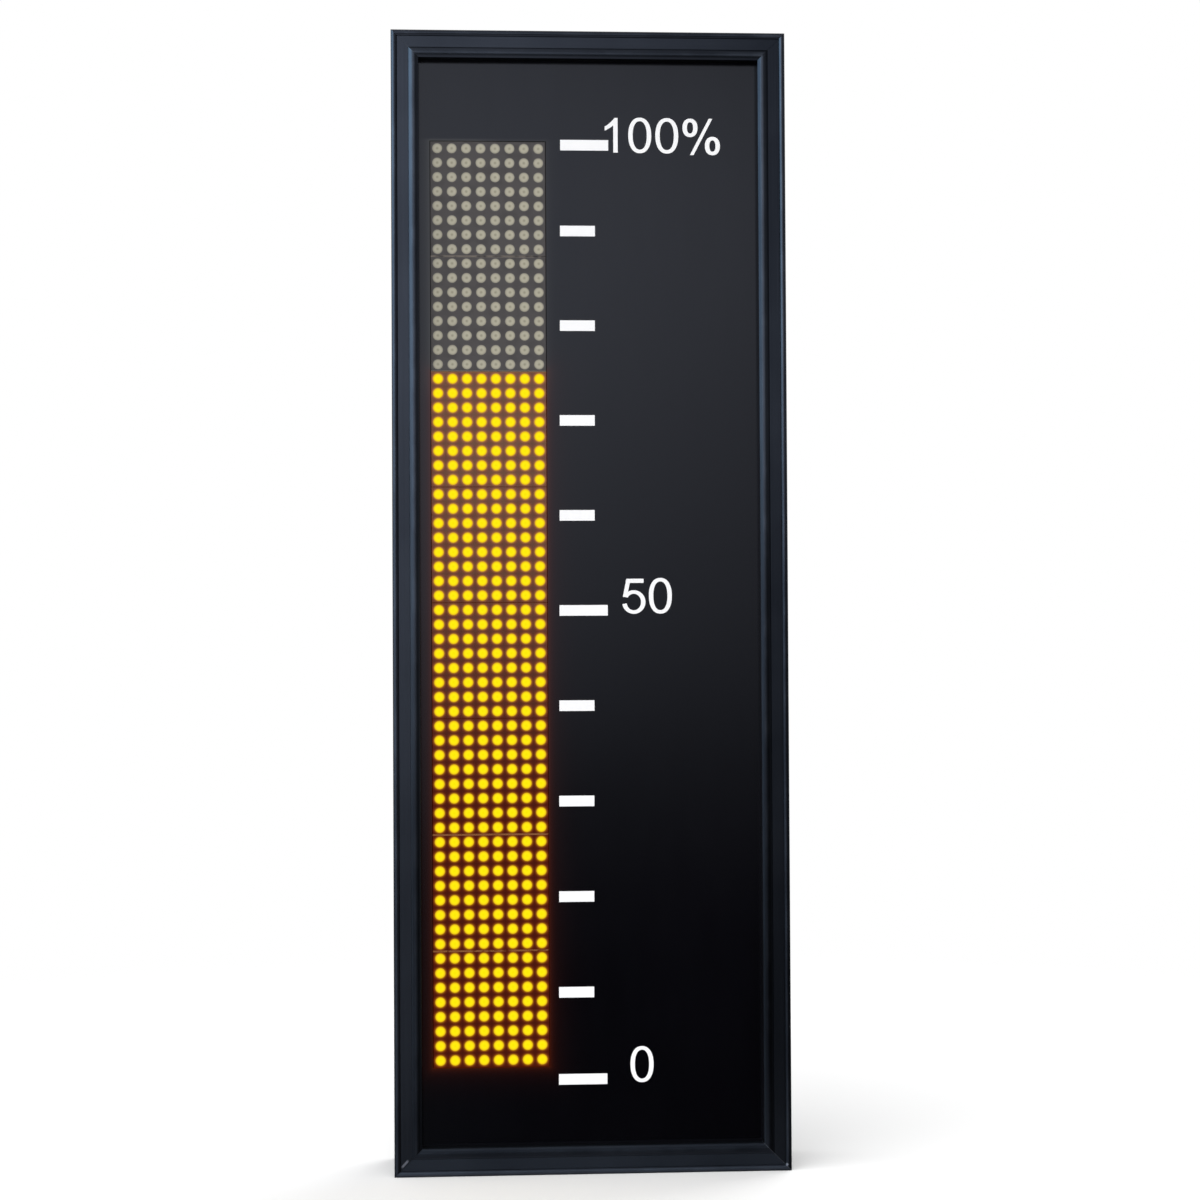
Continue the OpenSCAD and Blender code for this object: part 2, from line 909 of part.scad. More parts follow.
module psu_base() {
    depth = psu_h - psu_lid_t;
    pad = 5;
    color("#b4b8bd")
        difference() {
            union() {
                translate([psu_x0, psu_front_y + psu_lid_t, psu_z0])
                    linear_extrude(psu_l)
                        difference() {
                            square([psu_w, depth]);
                            translate([psu_wall, -eps])
                                square([psu_w - 2 * psu_wall, depth - psu_base_t + eps]);
                        }
                for (x = [psu_wall, psu_w - psu_wall - pad])
                    for (z = [psu_wall, psu_l - psu_wall - pad])
                        block(
                            [psu_x0 + x, psu_board_y + psu_board_t, psu_z0 + z],
                            [pad, psu_board_lift + psu_base_t / 2, pad]
                        );
            }
            through_cover(psu_screws_at) cover_hole(screw_d / 2, cover_t + psu_base_t + eps);
        }
}

module psu_cover() {
    flange = 5;
    fit = 0.15;
    vent_r = 2;
    step = 7;
    inner_w = psu_w - 2 * (psu_wall + fit);
    color("#c3c7cb")
        difference() {
            union() {
                block([psu_x0, psu_front_y, psu_z0], [psu_w, psu_lid_t, psu_l]);
                for (x = [0, inner_w - psu_lid_t])
                    block(
                        [psu_x0 + psu_wall + fit + x, psu_front_y, psu_z0],
                        [psu_lid_t, flange, psu_l]
                    );
                block(
                    [psu_x0 + psu_wall + fit, psu_front_y, psu_z0 + psu_l - psu_lid_t],
                    [inner_w, psu_h - psu_base_t - fit, psu_lid_t]
                );
            }
            for (i = [-2:2])
                for (j = [0:6])
                    translate([
                        psu_x0 + psu_w / 2 + i * step,
                        psu_front_y - eps,
                        psu_z0 + strip_d + step + j * step
                    ])
                        along_y(psu_lid_t + 2 * eps, vent_r, vent_r);
        }
}

module psu_board() {
    fit = 0.3;
    end_fit = psu_lid_t + fit;
    color("#2e6b3f")
        block(
            [psu_x0 + psu_wall + fit, psu_board_y, psu_z0],
            [psu_w - 2 * (psu_wall + fit), psu_board_t, psu_l - end_fit]
        );
}

// Puts a child on the supply's board, at a place counted from its middle and the terminal strip
module on_psu_board(at) {
    translate([psu_x0 + psu_w / 2 + at[0], psu_board_y, psu_z0 + strip_d + at[1]]) children();
}

// Transformer, smoothing capacitors and the finned heat sink on the supply's board
module psu_parts() {
    color("#d9c46a")
        on_psu_board(transformer[0])
            block([0, -transformer[1][1], 0], transformer[1]);
    color("#23262b")
        for (c = capacitors)
            on_psu_board(c[0])
                mirror([0, 1, 0])
                    along_y(c[1][1], c[1][0], c[1][0]);
    color("#a9adb2")
        on_psu_board(heat_sink[0])
            translate([0, -heat_sink[1][1], 0])
                difference() {
                    cube(heat_sink[1]);
                    for (i = [0:fin_count - 1])
                        translate([fin_t + (fin_t + fin_gap) * i, -eps, fin_base])
                            cube([fin_gap, heat_sink[1][1] - fin_base + eps, heat_sink[1][2]]);
                }
}

module psu_terminal_strip() {
    barrier = 1.2;
    end_wall = 2;
    color("#1d1d20")
        difference() {
            block(
                [strip_x0, psu_board_y - strip_h, psu_z0],
                [strip_ways * strip_pitch, strip_h, strip_d]
            );
            for (i = [0:strip_ways - 1]) {
                x = strip_x0 + (i + 0.5) * strip_pitch;
                block(
                    [x - (strip_pitch - barrier) / 2, psu_board_y - strip_h - eps, psu_z0 - eps],
                    [strip_pitch - barrier, strip_h - strip_ledge + eps, strip_d - end_wall + eps]
                );
                translate([x, psu_board_y - strip_ledge / 2, psu_z0 - eps])
                    cylinder(h = wire_hole_depth + eps, r = wire_hole_r);
            }
        }
}

module psu_screws() {
    tip = 1;
    color("#b8bcc0")
        through_cover(psu_screws_at)
            pan_screw(cover_t + psu_base_t + tip, core_r, head_r);
}

module control_board() {
    color("#1d4f7a")
        difference() {
            block([control_x0, control_y, control_z0], [control_w, control_t, control_l]);
            for (p = control_holes)
                translate([p[0], control_y - eps, p[1]])
                    along_y(control_t + 2 * eps, hole_r, hole_r);
        }
}

module control_chips() {
    color("#202124")
        for (p = control_chips_at)
            translate([control_x0 + p[0] * control_w, control_y, chip_room_z0 + p[1] * chip_room])
                rotate([0, 0, 180])
                    chip(p[2], p[3]);
}

// Screw terminals in a row, with a wire hole from below or from above and a screw well in front
module terminal_block(x0, z0, ways, from_top) {
    mid_y = control_y - terminal_h / 2;
    well_r = 0.36 * terminal_pitch;
    well_depth = 2;
    color("#2f7d4a")
        difference() {
            block([x0, control_y - terminal_h, z0], [ways * terminal_pitch, terminal_h, terminal_d]);
            for (i = [0:ways - 1]) {
                x = x0 + (i + 0.5) * terminal_pitch;
                translate([x, mid_y, from_top ? z0 + terminal_d - wire_hole_depth : z0 - eps])
                    cylinder(h = wire_hole_depth + eps, r = wire_hole_r);
                translate([x, control_y - terminal_h - eps, z0 + terminal_d / 2])
                    along_y(well_depth + eps, well_r, well_r);
            }
        }
}

module control_terminals() {
    terminal_block(signal_block_x, signal_block_z, signal_ways, false);
    terminal_block(power_block_x, power_block_z, power_ways, true);
}

module control_standoffs() {
    color("#c9a54a")
        for (p = control_holes)
            translate([p[0], control_rear_y, p[1]])
                standoff(control_standoff_l);
}

module control_screws() {
    reach = (control_standoff_l - tip_gap) / 2;
    color("#b8bcc0") {
        through_cover(control_holes) pan_screw(cover_t + reach, core_r, head_r);
        for (p = control_holes)
            translate([p[0], control_y, p[1]])
                pan_screw(control_t + reach, core_r, head_r);
    }
}

// A point of a smooth curve that leaves its start and reaches its end along Z, bowed to the front
function lead_point(from, to, bow, t) =
    let (ease = t * t * (3 - 2 * t))
        [
            from[0] + ease * (to[0] - from[0]),
            from[1] + ease * (to[1] - from[1]) - bow * pow(sin(180 * t), 2),
            from[2] + t * (to[2] - from[2])
        ];

// A lead from a way of the supply's terminal strip down to a way of the control board's block,
// straight in both wire holes and for a short way out of them
module power_lead(strip_way, block_way, bow) {
    sides = 8;
    steps = 22;
    rings = steps + 2;
    straight = [0, 0, wire_hole_depth];
    out_l = 1;
    from = [
        strip_x0 + (strip_way + 0.5) * strip_pitch,
        psu_board_y - strip_ledge / 2,
        psu_z0 - out_l
    ];
    to = [
        power_block_x + (block_way + 0.5) * terminal_pitch,
        control_y - terminal_h / 2,
        power_block_z + terminal_d + out_l
    ];
    middles = concat(
        [from + straight],
        [for (i = [0:steps]) lead_point(from, to, bow, i / steps)],
        [to - straight]
    );
    points = [
        for (i = [0:rings])
            let (
                run = middles[min(i + 1, rings)] - middles[max(i - 1, 0)],
                along = i < 2 || i > rings - 2 ? [0, 0, -1] : run / norm(run),
                out = cross(along, [0, 1, 0]),
                side = out / norm(out),
                up = cross(side, along)
            )
                for (s = [0:sides - 1])
                    middles[i] + lead_d / 2 * (cos(360 * s / sides) * side + sin(360 * s / sides) * up)
    ];
    walls = [
        for (i = [0:rings - 1])
            for (s = [0:sides - 1])
                let (n = (s + 1) % sides)
                    [i * sides + s, i * sides + n, (i + 1) * sides + n, (i + 1) * sides + s]
    ];
    ends = [
        [for (s = [0:sides - 1]) sides - 1 - s],
        [for (s = [0:sides - 1]) rings * sides + s]
    ];
    polyhedron(points, concat(walls, ends));
}

module power_lead_red() {
    color("#c0262c") power_lead(0, 0, 6);
}

module power_lead_black() {
    color("#1a1a1c") power_lead(1, 1, 3);
}

// A slot with round ends, cut through the rear cover
module vent_slot() {
    straight = vent_l - vent_w;
    depth = cover_t + 2 * eps;
    block([-straight / 2, -eps, -vent_w / 2], [straight, depth, vent_w]);
    for (side = [-1, 1])
        translate([side * straight / 2, -eps, 0])
            along_y(depth, vent_w / 2, vent_w / 2);
}

module rear_cover() {
    sheet = cover_t + eps;
    color("#26292d")
        difference() {
            block(
                [-cover_w / 2, cover_in_y, (frame_h - cover_h) / 2],
                [cover_w, cover_t, cover_h]
            );
            through_cover(cover_screws_at) cover_hole(cover_hole_r, sheet);
            through_cover(concat(psu_screws_at, control_holes)) cover_hole(hole_r, sheet);
            through_cover(insert_points) cover_hole(insert_body_r, sheet);
            through_cover([for (x = grommet_xs) [x, grommet_z]]) cover_hole(grommet_hole_r, sheet);
            for (x = vent_xs)
                for (i = [0:vent_rows - 1])
                    translate([x, cover_in_y, frame_h - vent_end - i * vent_pitch])
                        vent_slot();
        }
}

module rear_cover_screws() {
    color("#15161a")
        through_cover(cover_screws_at)
            pan_screw(cover_screw_l, channel_gap / 2 - tap_clear, head_r);
}

// Threaded sleeves with a flange outside the sheet and a crimped bulge inside it
module rivet_nuts() {
    crimp = 3;
    body = insert_body_r - grommet_clear;
    end = cover_t + insert_depth;
    color("#c8b169")
        through_cover(insert_points)
            rotate([-90, 0, 0])
                rotate_extrude()
                    polygon([
                        [insert_d / 2, -insert_flange_t],
                        [insert_flange_r, -insert_flange_t],
                        [insert_flange_r, 0],
                        [body, 0],
                        [body, cover_t],
                        [insert_flange_r, cover_t],
                        [body, cover_t + crimp],
                        [body, end],
                        [insert_d / 2, end]
                    ]);
}

// Rubber rings that sit in the sheet by a groove
module cable_grommets() {
    groove = grommet_hole_r - grommet_clear;
    color("#17181a")
        through_cover([for (x = grommet_xs) [x, grommet_z]])
            rotate([-90, 0, 0])
                rotate_extrude()
                    polygon([
                        [grommet_d / 2, -grommet_lip],
                        [grommet_flange_r - grommet_bevel, -grommet_lip],
                        [grommet_flange_r, grommet_bevel - grommet_lip],
                        [grommet_flange_r, 0],
                        [groove, 0],
                        [groove, cover_t],
                        [grommet_flange_r, cover_t],
                        [grommet_flange_r, cover_t + grommet_lip - grommet_bevel],
                        [grommet_flange_r - grommet_bevel, cover_t + grommet_lip],
                        [grommet_d / 2, cover_t + grommet_lip]
                    ]);
}

frame_top();
frame_bottom();
frame_left();
frame_right();
corner_key(0, 1);  // corner_key_top_left
corner_key(1, 1);  // corner_key_top_right
corner_key(0, 0);  // corner_key_bottom_left
corner_key(1, 0);  // corner_key_bottom_right
corner_key_screws();
front_panel();
scale_marks();
for (i = [1:module_count]) {
    led_module(i);
    led_dots(i);
}
module_back_boards();
module_pins();
for (j = [1:board_count])
    driver_board(j);
pin_sockets();
driver_chips();
ribbon_headers();
ribbon_plugs();
ribbon_cables();
board_standoffs();
board_screws();
board_rail_left();
board_rail_right();
rail_screws();
psu_base();
psu_cover();
psu_board();
psu_parts();
psu_terminal_strip();
psu_screws();
control_board();
control_chips();
control_terminals();
control_standoffs();
control_screws();
power_lead_red();
power_lead_black();
rear_cover();
rear_cover_screws();
rivet_nuts();
cable_grommets();
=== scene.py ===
import math

import bpy
import numpy as np
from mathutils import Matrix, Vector


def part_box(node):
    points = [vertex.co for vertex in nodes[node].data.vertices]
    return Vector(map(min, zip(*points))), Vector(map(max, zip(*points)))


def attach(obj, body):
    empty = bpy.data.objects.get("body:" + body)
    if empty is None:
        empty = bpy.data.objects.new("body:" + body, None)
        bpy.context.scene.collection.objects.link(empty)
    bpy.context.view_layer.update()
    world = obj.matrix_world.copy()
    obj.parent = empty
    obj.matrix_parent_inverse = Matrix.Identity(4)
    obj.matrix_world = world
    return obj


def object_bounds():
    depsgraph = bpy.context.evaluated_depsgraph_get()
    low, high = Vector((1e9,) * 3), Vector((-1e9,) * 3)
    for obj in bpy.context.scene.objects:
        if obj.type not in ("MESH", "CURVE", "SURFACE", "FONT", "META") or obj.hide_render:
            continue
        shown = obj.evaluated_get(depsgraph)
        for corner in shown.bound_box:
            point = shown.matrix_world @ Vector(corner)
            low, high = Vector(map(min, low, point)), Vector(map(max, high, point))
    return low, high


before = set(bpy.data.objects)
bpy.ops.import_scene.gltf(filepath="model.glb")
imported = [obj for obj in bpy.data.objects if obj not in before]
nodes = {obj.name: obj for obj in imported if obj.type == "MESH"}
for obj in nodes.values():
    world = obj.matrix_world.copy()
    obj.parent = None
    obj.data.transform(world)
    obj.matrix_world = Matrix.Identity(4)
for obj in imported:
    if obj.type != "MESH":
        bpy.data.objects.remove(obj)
cad_low, cad_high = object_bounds()


# Frame rails: four lengths of extruded aluminium, cut to mitres and anodised a dark blue-grey.
# The die leaves fine lines along each rail, and the saw leaves bare metal along the mitres. Rubbing
# pales the bead crests here and there; painted highlights pale the crests of the right rail's upper
# half and of the bottom rail's outer bead, and two painted glints mark the lower corners. Painted
# shade darkens the rails towards the right, the inner ledge of the bottom rail and the crests of the
# inner beads lower down, and the bottom rail is rougher.
class Wire:
    """One output socket of a material. Arithmetic on it adds Math nodes; add() makes any node."""

    def __init__(self, socket):
        self.socket = socket

    def add(self, kind, settings=(), sockets=(), out=0):
        """Adds a node to the same material: settings first, then a value or a link per socket."""
        tree = self.socket.id_data
        made = tree.nodes.new("ShaderNode" + kind)
        for name, value in dict(settings).items():
            if name == "stops":
                ramp = made.color_ramp.elements
                while len(ramp) < len(value):
                    ramp.new(1.0)
                for stop, (place, colour) in zip(ramp, value):
                    stop.position, stop.color = place, colour
            else:
                setattr(made, name, value)
        for key, value in dict(sockets).items():
            if isinstance(value, Wire):
                tree.links.new(value.socket, made.inputs[key])
            else:
                made.inputs[key].default_value = value
        return Wire(made.outputs[out])

    def math(self, operation, *others):
        """The Math node of that name, with this socket first."""
        return self.add("Math", {"operation": operation}, dict(enumerate((self, *others))))

    def __add__(self, other):
        return self.math("ADD", other)

    def __sub__(self, other):
        return self.math("SUBTRACT", other)

    def __rsub__(self, other):
        return self.add("Math", {"operation": "SUBTRACT"}, {0: other, 1: self})

    def __mul__(self, other):
        return self.math("MULTIPLY", other)

    def __truediv__(self, other):
        return self.math("DIVIDE", other)

    def __pow__(self, other):
        return self.math("POWER", other)

    def __abs__(self):
        return self.math("ABSOLUTE")

    __radd__ = __add__
    __rmul__ = __mul__

    def rise(self, low, high):
        """0 below low, 1 above high and a smooth step between; high may be the lower one."""
        limits = {"From Min": low, "From Max": high}
        return self.add(
            "MapRange", {"interpolation_type": "SMOOTHSTEP"}, {"Value": self, **limits}
        )

    def fall(self, length):
        """1 at 0, and less by a factor of e for each such length."""
        return (self / -length).math("EXPONENT")

    def mix(self, first, second):
        """A colour between the two, by this value from 0 to 1."""
        return self.add("Mix", {"data_type": "RGBA"}, {0: self, 6: first, 7: second}, 2)

    def axes(self):
        """The X, Y and Z of a vector."""
        split = self.add("SeparateXYZ", (), {0: self}).socket.node
        return [Wire(socket) for socket in split.outputs]

    def noise(self, scale, detail=3.0, stretch=(1, 1, 1)):
        """Cloudy noise on this vector, from about 0.3 to 0.7, drawn out along an axis by stretch."""
        drawn = self.add("Mapping", (), {"Vector": self, "Scale": stretch})
        return self.add("TexNoise", (), {"Vector": drawn, "Scale": scale, "Detail": detail})

    def bump(self, distance):
        """A normal that treats this value as a height, distance metres from 0 to 1."""
        return self.add("Bump", (), {"Height": self, "Distance": distance, "Strength": 1.0})


def seen(red, green, blue):
    """The linear colour of a shade as a picture shows it, given from 0 to 255."""
    shade = np.array([red, green, blue]) / 255
    linear = np.where(shade > 0.04045, ((shade + 0.055) / 1.055) ** 2.4, shade / 12.92)
    return (*linear.tolist(), 1.0)


def finish(name):
    """A new material: itself, its Principled shader and its Object coordinates."""
    material = bpy.data.materials.new(name)
    material.use_nodes = True
    tree = material.node_tree
    place = tree.nodes.new("ShaderNodeTexCoord").outputs["Object"]
    return material, tree.nodes["Principled BSDF"], Wire(place)


def coat(material, shader, sockets, *pieces):
    """Sets or links the shader's sockets, and gives the material to those CAD nodes."""
    for name, value in sockets.items():
        if isinstance(value, Wire):
            material.node_tree.links.new(value.socket, shader.inputs[name])
        else:
            shader.inputs[name].default_value = value
    for piece in pieces:
        nodes[piece].data.materials.clear()
        nodes[piece].data.materials.append(material)


rail_low, rail_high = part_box("frame_left")
rail_face = rail_high.x - rail_low.x
inner_bead_w = 0.0054
crest_d = 0.0005
ledge_d = 0.003

# Painted glints at the lower corners, drawn as pale streaks: the middle's X and Z, the turn from the X
# axis, half the length
painted_glints = [(-0.0985, 0.0069, 0.84, 0.0030), (0.1014, 0.0033, 0.91, 0.0009)]
glint_w = 0.0008


def painted_glint(x, z, glint_x, glint_z, turn, half):
    """1 on a painted glint: both coordinates, turned to run along it and across it, are small there.
    """
    along = (x - glint_x) * math.cos(turn) + (z - glint_z) * math.sin(turn)
    across = (z - glint_z) * math.cos(turn) - (x - glint_x) * math.sin(turn)
    return abs(along).rise(half, half / 2) * abs(across).rise(glint_w, glint_w - 0.0005)


def anodised(name, stretch, *pieces):
    """Dark anodised metal whose die lines follow the rail, by distance from the frame's edges."""
    half_w, height, front = cad_high.x, cad_high.z, cad_low.y
    bead_foot = rail_face - inner_bead_w
    material, shader, place = finish(name)
    x, y, z = place.axes()
    lines = place.noise(60, 4, stretch)
    cloud = place.noise(14)
    from_side = half_w - abs(x)
    from_end = height / 2 - abs(z - height / 2)
    inner = from_side.math("MINIMUM", from_end).rise(bead_foot - 0.0005, bead_foot + 0.0005)
    bottom = (from_side - z).rise(0.0, 0.0004)
    low = z.rise(height * 0.6, height * 0.25)
    # Painted highlight: the crests on the right rail's upper half are paled.
    painted_highlight_right = x.rise(half_w - 0.02, half_w - 0.01) * z.rise(height * 0.42, height * 0.75)
    # Crest paling: rubbing wear at random, with painted highlights on the right rail's upper half and
    # on the bottom rail's outer bead.
    wear_and_painted_highlight = 0.3 * place.noise(45).rise(0.4, 0.7) + 0.5 * painted_highlight_right + 0.4 * bottom * (1 - inner)
    crest_wear_and_highlight = y.rise(front + crest_d, front) * wear_and_painted_highlight
    # Painted shade: the inner beads' crests lower down and the bottom rail's inner ledge are darkened
    # towards black.
    painted_shade_crown = y.rise(front + 0.0008, front + 0.0002) * inner * low
    painted_shade_ledge = y.rise(front + ledge_d, front + 1.5 * ledge_d) * bottom
    mitre = abs(from_side - from_end).rise(0.0006, 0.0001) * cloud.rise(0.42, 0.55)
    marks = [painted_glint(x, z, *mark) for mark in painted_glints]
    # The bath's tone varies at random, with painted shade that darkens the rails towards the right.
    bath_with_painted_side_shade = (cloud * 1.6 - 0.3 - x * 3.6).mix(seen(49, 52, 57), seen(72, 75, 80))
    rubbed_and_highlit = crest_wear_and_highlight.mix(bath_with_painted_side_shade, seen(100, 104, 110))
    painted_shade = (0.5 * painted_shade_crown + 0.8 * painted_shade_ledge).mix(rubbed_and_highlit, seen(8, 8, 10))
    sawn = (mitre * 0.2).mix(painted_shade, seen(176, 178, 180))
    coat(material, shader, {
        # Painted glints: two pale streaks at the lower corners.
        "Base Color": marks[0].math("MAXIMUM", marks[1]).mix(sawn, seen(190, 190, 194)),
        "Metallic": 0.96,
        "Roughness": 0.24 + 0.1 * lines + 0.05 * cloud + 0.22 * bottom,
        "Normal": lines.bump(0.00004),
    }, *pieces)


anodised("anodised_upright", (14, 14, 0.15), "frame_left", "frame_right")
anodised("anodised_cross", (0.15, 14, 14), "frame_top", "frame_bottom")


# Corner keys: cast angles that slide into the rails' channels, and the set screws in them that
# press against the outer wall. Bare metal, with the grain of the mould.
def bare_metal(name, shade, rough, grain, *pieces, stretch=(1, 1, 1)):
    """Uncoated metal: a cloudy shade, and a grain of that scale in its gloss and surface."""
    material, shader, place = finish(name)
    cloud = place.noise(25)
    fine = place.noise(grain, 4, stretch)
    dark = tuple(0.72 * part for part in shade[:3]) + (1.0,)
    coat(material, shader, {
        "Base Color": cloud.rise(0.3, 0.7).mix(dark, shade),
        "Metallic": 1.0,
        "Roughness": rough - 0.1 + 0.2 * fine,
        "Normal": fine.bump(0.00003),
    }, *pieces)


corners = ("top_left", "top_right", "bottom_left", "bottom_right")
bare_metal("cast_key", seen(186, 188, 190), 0.5, 900, *["corner_key_" + c for c in corners])
bare_metal("zinc_screw", seen(205, 207, 212), 0.3, 1500, "corner_key_screws", "board_screws",
           "rail_screws", "psu_screws", "control_screws")


# Front panel: black acrylic sheet with a satin face, held in the rails' slot, with a window for the
# modules. Fine hazing from cleaning, a painted glow of the modules' light round the window, and a
# painted grey glare beside the unlit modules.
column_low = np.array(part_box("led_module_1")[0])
column_high = np.array(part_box("led_module_8")[1])
lit_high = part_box("led_module_6")[1].z
column_x = (column_low[0] + column_high[0]) / 2
column_w = column_high[0] - column_low[0]
spill_reach, brim_reach, glare_reach = 0.005, 0.0012, 0.0022
acrylic, shader, place = finish("black_acrylic")
x, y, z = place.axes()
beside = (abs(x - column_x) - column_w / 2).math("MAXIMUM", 0.0)
beyond = (z - lit_high).math("MAXIMUM", column_low[2] - z).math("MAXIMUM", 0.0)
away = (beside ** 2.0 + beyond ** 2.0) ** 0.5
# Painted glow: the modules' light spilling onto the panel round the window.
spill = 0.28 * away.fall(spill_reach) + 0.72 * away.fall(brim_reach)
by_unlit = z.rise(lit_high - 0.02, lit_high) * z.rise(column_high[2] + 0.002, column_high[2])
more_left = 0.4 + 0.6 * x.rise(column_x + 0.01, column_x - 0.01)
# Painted glare: a grey glow beside the unlit modules, more at the left.
glare = beside.fall(glare_reach) * by_unlit * more_left
caught = glare.mix((0, 0, 0, 1), seen(48, 48, 46))
haze = place.noise(7, 5)
wiped = place.noise(90, 4, (1, 1, 0.2))
coat(acrylic, shader, {
    "Base Color": haze.rise(0.3, 0.7).mix(seen(1, 0, 3), seen(3, 2, 6)),
    "Roughness": 0.13 + 0.05 * haze + 0.04 * wiped,
    "IOR": 1.49,
    "Emission Color": spill.mix(caught, (0.050, 0.007, 0.0012, 1)),
    "Emission Strength": 1.0,
    "Normal": wiped.bump(0.000004),
}, "front_panel")


# Scale: bars and numerals cut from white vinyl film and stuck on the panel. The numerals are a
# plain sans serif: strokes of even width, a little thinner across than upright. A stroke is drawn
# by its two edges, from the numeral's lower left corner.
bars_low, bars_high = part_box("scale_marks")
film_t = bars_high.y - bars_low.y
panel_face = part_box("front_panel")[0].y
digit_w, digit_h = 0.0122, 0.0189
upright_w, across_w = 0.00235, 0.00187


def oval(centre, half_w, half_h, angles):
    """Points of a squared ellipse: the cosine and sine, each to the power 2 / 2.25, times halves."""
    square = 2 / 2.25
    cos, sin = np.cos(angles), np.sin(angles)
    x = centre[0] + half_w * np.sign(cos) * np.abs(cos) ** square
    z = centre[1] + half_h * np.sign(sin) * np.abs(sin) ** square
    return np.stack([x, z], axis=1)


def ring(centre, half_w, half_h):
    """The outer and inner edge of a closed stroke round an oval."""
    round_angles = np.linspace(0, 2 * np.pi, 73)
    inner = oval(centre, half_w - upright_w, half_h - across_w, round_angles)
    return oval(centre, half_w, half_h, round_angles), inner


def zero():
    """The numeral 0: one ring."""
    return [ring((digit_w / 2, digit_h / 2), digit_w / 2, digit_h / 2)]


def one():
    """The numeral 1: an upright with a slanted top, and a flag between two rising powers of u."""
    left, tip, right = 0.0045, 0.0054, 0.00685
    shoulder, top = 0.0165, 0.0185
    flag_low, flag_high = 0.0117, 0.0140
    u = np.linspace(0, 1, 25)
    low = np.stack([left * u, flag_low + 0.0028 * u ** 1.25], axis=1)
    high = np.stack([0.0053 * u, flag_high + (top - flag_high) * u ** 1.4], axis=1)
    upright = np.array([[right, 0], [right, shoulder], [right, top]])
    slant = np.array([[left, 0], [left, shoulder], [tip, top]])
    return [(low, high), (upright, slant)]


def five():
    """The numeral 5: a bar, a leaning stem, and a bowl along an ellipse between two angles."""
    bar_end, bar_z0, bar_z1 = 0.0113, 0.0160, 0.0182
    bar_low = np.array([[0.0018, bar_z0], [bar_end, bar_z0]])
    bar_high = np.array([[0.0022, bar_z1], [bar_end, bar_z1]])
    stem_right = np.array([[0.0025, 0.0084], [0.0030, 0.0110], [0.0041, 0.0165]])
    stem_left = np.array([[0.0003, 0.0087], [0.0008, 0.0110], [0.0019, 0.0165]])
    middle, halves = np.array([0.0061, 0.0059]), np.array([0.0050, 0.0053])
    turn = np.radians(np.linspace(147, -170, 73))
    wide = (across_w + (upright_w - across_w) * np.cos(turn) ** 2)[:, None] / 2
    way = np.stack([np.cos(turn), np.sin(turn)], axis=1)
    bowl = middle + (halves - wide) * way, middle + (halves + wide) * way
    return [(bar_low, bar_high), (stem_right, stem_left), bowl]


def percent():
    """The sign %: two small rings and a slanted bar between them."""
    half_w, half_h = 0.0040, 0.0049
    foot, head = -0.0007, 0.0187
    low = np.array([[0.0058, foot], [0.0159, head]])
    high = np.array([[0.0039, foot], [0.0140, head]])
    upper, lower = (half_w, 0.0138), (0.0159, 0.0042)
    return [ring(upper, half_w, half_h), ring(lower, half_w, half_h), (low, high)]


def film(strokes):
    """Flat film: each stroke is a ruled strip from its first edge to its second, which lies to the
    left of it, so a point is (1 - v) first(u) + v second(u) on the front and on the back. A stroke
    that ends where it starts has no end faces. Where strokes cross, every other one is a hundredth
    of a millimetre thicker."""
    points, faces, count = [], [], 0
    for order, (first, second) in enumerate(strokes):
        closed = np.allclose(first[0], first[-1])
        if closed:
            first, second = first[:-1], second[:-1]
        n = len(first)
        front = panel_face - film_t - 0.00001 * (order % 2)
        flat = np.concatenate([first, second, second, first])
        depth = np.repeat([front, panel_face], 2 * n)
        points.append(np.stack([flat[:, 0], depth, flat[:, 1]], axis=1))
        here = np.arange(n if closed else n - 1)
        there = (here + 1) % n
        sides = [(0, n), (n, 2 * n), (2 * n, 3 * n), (3 * n, 0)]
        faces += [count + np.stack([a + here, a + there, b + there, b + here], axis=1)
                  for a, b in sides]
        if not closed:
            ends = count + n * np.arange(4)
            faces += [ends[None, :], (ends + n - 1)[None, ::-1]]
        count += 4 * n
    return np.concatenate(points), np.concatenate(faces)


def surface(name, points, faces, material):
    """A new object at the origin, from numpy points and faces."""
    mesh = bpy.data.meshes.new(name)
    mesh.from_pydata(points.tolist(), [], faces.tolist())
    mesh.materials.append(material)
    made = bpy.data.objects.new(name, mesh)
    bpy.context.scene.collection.objects.link(made)
    return made


# Each row of numerals goes by a level of the bars, and each numeral by its corner's distance from
# the end of the longest bar and from that level
rows = [
    (bars_high.z, [(one, -0.0018, -0.0066), (zero, 0.0107, -0.0068),
                   (zero, 0.0251, -0.0069), (percent, 0.0396, -0.0069)]),
    ((bars_low.z + bars_high.z) / 2, [(five, 0.0062, -0.0016), (zero, 0.0203, -0.0019)]),
    (bars_low.z, [(zero, 0.0092, 0.0007)]),
]
strokes = [
    (first + (bars_high.x + right, level + up), second + (bars_high.x + right, level + up))
    for level, row in rows
    for shape, right, up in row
    for first, second in shape()
]
vinyl, shader, place = finish("white_vinyl")
grain = place.noise(700)
coat(vinyl, shader, {
    "Base Color": place.noise(40).rise(0.3, 0.7).mix(seen(250, 250, 252), seen(254, 254, 255)),
    "Roughness": 0.4 + 0.15 * grain,
    "Normal": grain.bump(0.000006),
}, "scale_marks")
numerals = surface("scale_numerals", *film(strokes), vinyl)
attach(numerals, "root")


